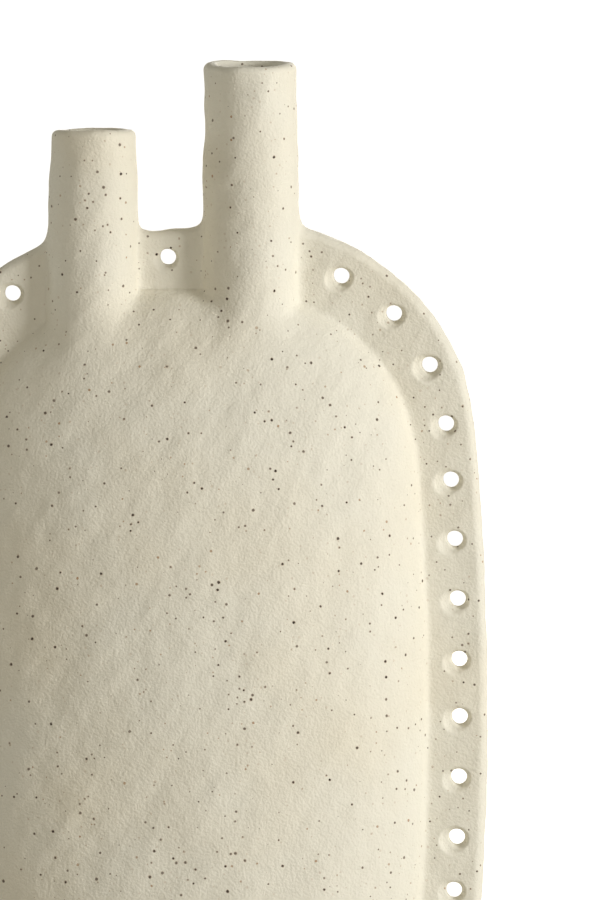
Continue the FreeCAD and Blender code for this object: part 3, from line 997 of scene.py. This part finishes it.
def stoneware(name, clay, sand=1.0, specks=1.0):
    """The matt, sandy, iron-specked clay, with its own share of sand and specks."""
    _, tree, shader, position = new_finish(name)

    def group(label, values):
        inputs, nodes = {"Position": position, **values}, bpy.data.node_groups[label]
        return terms(add_node(tree, "ShaderNodeGroup", inputs, node_tree=nodes).outputs)

    patches = (noise(tree, position, 1.0 / WARM_SPAN) - WARM_START) * WARM_STEEPNESS
    warmth = patches.at_least(0.0).at_most(WARM_MOST)
    colour_now = mix_colours(tree, warmth, clay.clay, clay.warm)
    for shift, spacing, radius, kept, strength, tint in SPECK_LAYERS:
        speck = group("Specks", {
            "Shift": shift,
            "Spacing": clay.speck_spacing * spacing,
            "Largest": clay.speck_radius * radius,
            "Kept": kept * specks,
        })
        depth = speck["Which"] * (1.0 - PALEST_SPECK) + PALEST_SPECK
        mask = speck["Mask"] * strength * depth
        colour_now = mix_colours(tree, mask, colour_now, getattr(clay, tint))
    grain = group("Sandy grain", {"Span": clay.sand_span, "Rise": clay.sand_height * sand})
    inputs = {"Strength": 1.0, "Distance": 1.0, "Height": grain["Height"]}
    feed(shader, {
        "Base Color": colour_now,
        "Roughness": clay.roughness,
        "Specular IOR Level": CLAY_SHINE,
        "Normal": result(tree, "ShaderNodeBump", inputs),
    })


def seen_as_white(tree):
    """1 for what the camera or a gloss sees, and 0 for what lights the vase."""
    rays = terms(tree.nodes.new("ShaderNodeLightPath").outputs)
    return rays["Is Camera Ray"].at_least(rays["Is Glossy Ray"])


def floor_finish(stage):
    """A pale floor that shows white to the camera and still takes the vase's shadow."""
    material, tree, shader, position = new_finish("studio_floor")
    across, deep, _ = parts_of(tree, "ShaderNodeSeparateXYZ", position)
    far = ((span(across, deep) - SHADOW_REACH) / SHADOW_REACH).as_share()
    feed(shader, {
        "Base Color": (*stage.floor, 1.0),
        "Roughness": 1.0,
        "Specular IOR Level": 0.0,
        "Emission Color": (*WHITE, 1.0),
        "Emission Strength": seen_as_white(tree) * (far * (1.0 - FLOOR_GLOW) + FLOOR_GLOW),
    })
    return material


# Operators: one for the finishes, one for the clay's skin, one for each kind of piece and one
# for the stage.


class VASE_OT_finishes(bpy.types.Operator):
    """Mix the stoneware for the slabs, the necks and the foot"""

    bl_idname = "vase.finishes"
    bl_label = "Stoneware"

    def execute(self, context):
        clay = context.scene.vase.clay
        sandy_grain_group()
        specks_group()
        stoneware(SLAB_CLAY, clay)
        stoneware(NECK_CLAY, clay)
        stoneware(FOOT_CLAY, clay, sand=1.3, specks=0.7)
        return {"FINISHED"}


class VASE_OT_skin(bpy.types.Operator):
    """Shape the clay as one skin, from which the slabs and the necks are cut"""

    bl_idname = "vase.skin"
    bl_label = "Skin"

    def execute(self, context):
        make_skin(context.scene.vase)
        return {"FINISHED"}


class VASE_OT_slabs(bpy.types.Operator):
    """Cut the front and back slabs with their flange and its pierced holes"""

    bl_idname = "vase.slabs"
    bl_label = "Slabs"

    def execute(self, context):
        clay = bpy.data.materials[SLAB_CLAY]
        cut_piece("front_slab", "Slab", clay, Side=-1.0)
        cut_piece("back_slab", "Slab", clay, Side=1.0)
        return {"FINISHED"}


class VASE_OT_necks(bpy.types.Operator):
    """Cut the tall and the short neck"""

    bl_idname = "vase.necks"
    bl_label = "Necks"

    def execute(self, context):
        clay = bpy.data.materials[NECK_CLAY]
        cut_piece("tall_neck", "Tall neck", clay)
        cut_piece("short_neck", "Short neck", clay)
        bpy.data.objects.remove(bpy.data.objects[HOLE_PLACES])
        return {"FINISHED"}


class VASE_OT_base(bpy.types.Operator):
    """Give the base slab its bare clay"""

    bl_idname = "vase.base"
    bl_label = "Base"

    def execute(self, context):
        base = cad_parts["base_slab"]
        for material_slot in base.material_slots:
            material_slot.material = bpy.data.materials[FOOT_CLAY]
        return {"FINISHED"}


# The floor reaches this far each way, so that its edge never shows.
FLOOR_REACH = 14.0
SENSOR_WIDTH = 24.0
CLIP_END = 100.0


def turned_from(away):
    """The turn that makes a lamp or a camera look back along a line."""
    return away.to_track_quat("Z", "Y").to_euler()


def soft_light(name, place, aim, size, level, tint):
    """A square soft light that adds a level to a face turned to it."""
    lamp = bpy.data.lights.new(name, "AREA")
    lamp.shape = "SQUARE"
    lamp.size = size
    lamp.color = tint
    away = Vector(place) - Vector(aim)
    lamp.energy = level * math.pi**2 * away.length_squared
    holder = add_object(name, lamp)
    holder.location = place
    holder.rotation_euler = turned_from(away)


def around(aim, azimuth, elevation, distance):
    """A place round the aim: azimuth is to the right of the front, in degrees."""
    turn, rise = math.radians(azimuth), math.radians(elevation)
    level = distance * math.cos(rise)
    x, y, z = aim
    return (x + level * math.sin(turn), y - level * math.cos(turn), z + distance * math.sin(rise))


def set_lights(stage):
    middle = (0.0, 0.0, stage.aim_up)
    for name, azimuth, elevation, away, size, level, tint in (
        ("key_light", 61.0, 9.0, 2.8, 0.8, stage.key, WHITE),
        ("side_light", 88.0, 26.0, 2.0, 0.4, stage.side, WHITE),
        ("front_light", -20.0, 12.0, 2.0, 0.7, stage.front, WHITE),
        ("fill_light", -100.0, 12.0, 2.0, 0.7, stage.fill, COOL_WHITE),
        ("back_light", 165.0, 20.0, 2.0, 0.7, stage.back, WHITE),
    ):
        soft_light(name, around(middle, azimuth, elevation, away), middle, size, level, tint)


def set_floor(stage):
    floor = bpy.data.meshes.new("floor")
    near, far = -FLOOR_REACH, FLOOR_REACH
    corners = [(near, near, 0), (far, near, 0), (far, far, 0), (near, far, 0)]
    floor.from_pydata(corners, [], [(0, 1, 2, 3)])
    floor.materials.append(floor_finish(stage))
    add_object("floor", floor)


def set_world(scene, stage):
    """Surroundings that show white, and light the vase weakly and warmly."""
    scene.world = bpy.data.worlds.new("studio")
    scene.world.use_nodes = True
    tree = scene.world.node_tree
    white = seen_as_white(tree)
    feed(tree.nodes["Background"], {
        "Strength": white.at_least(stage.around),
        "Color": mix_colours(tree, white, WARM_WHITE, WHITE),
    })


def set_camera(scene, stage):
    camera = bpy.data.cameras.new("camera")
    viewpoint = add_object("camera", camera)
    viewpoint.location = (stage.aim_across, -stage.distance, stage.height)
    away = viewpoint.location - Vector((stage.aim_across, 0.0, stage.aim_up))
    viewpoint.rotation_euler = turned_from(away)
    camera.sensor_fit = "HORIZONTAL"
    camera.sensor_width = SENSOR_WIDTH
    camera.lens = SENSOR_WIDTH * away.length / stage.width
    camera.clip_end = CLIP_END
    scene.camera = viewpoint
    scene.view_settings.view_transform = "Standard"


class VASE_OT_stage(bpy.types.Operator):
    """Set up the pale floor, the soft lights and the camera"""

    bl_idname = "vase.stage"
    bl_label = "Stage"

    def execute(self, context):
        stage = context.scene.vase_stage
        set_lights(stage)
        set_floor(stage)
        set_world(context.scene, stage)
        set_camera(context.scene, stage)
        return {"FINISHED"}


class VASE_PT_panel(bpy.types.Panel):
    bl_idname = "VASE_PT_panel"
    bl_label = "Pillow Vase"
    bl_space_type = "VIEW_3D"
    bl_region_type = "UI"
    bl_category = "Vase"

    def draw(self, context):
        layout = self.layout
        for operator in OPERATORS:
            layout.operator(operator.bl_idname)
        vase = context.scene.vase
        groups = (vase.pillow, vase.flange, vase.holes, vase.tall, vase.short, vase.clay)
        for settings in (vase, *groups, context.scene.vase_stage):
            draw_settings(layout.box(), settings)


def draw_settings(box, settings):
    for prop in settings.bl_rna.properties:
        if prop.identifier not in ("name", "rna_type") and prop.type == "FLOAT":
            box.prop(settings, prop.identifier)


OPERATORS = (
    VASE_OT_finishes, VASE_OT_skin, VASE_OT_slabs, VASE_OT_necks, VASE_OT_base, VASE_OT_stage
)
CLASSES = (
    PillowSettings, FlangeSettings, HoleSettings, TallNeckSettings, ShortNeckSettings,
    ClaySettings, VaseSettings, StageSettings, *OPERATORS, VASE_PT_panel
)


def register():
    for cls in CLASSES:
        bpy.utils.register_class(cls)
    bpy.types.Scene.vase = PointerProperty(type=VaseSettings)
    bpy.types.Scene.vase_stage = PointerProperty(type=StageSettings)


def unregister():
    del bpy.types.Scene.vase_stage
    del bpy.types.Scene.vase
    for cls in reversed(CLASSES):
        bpy.utils.unregister_class(cls)


def main():
    register()
    bpy.ops.vase.finishes()
    bpy.ops.vase.skin()
    bpy.ops.vase.slabs()
    bpy.ops.vase.necks()
    bpy.ops.vase.base()
    bpy.ops.vase.stage()


if __name__ == "__main__":
    main()
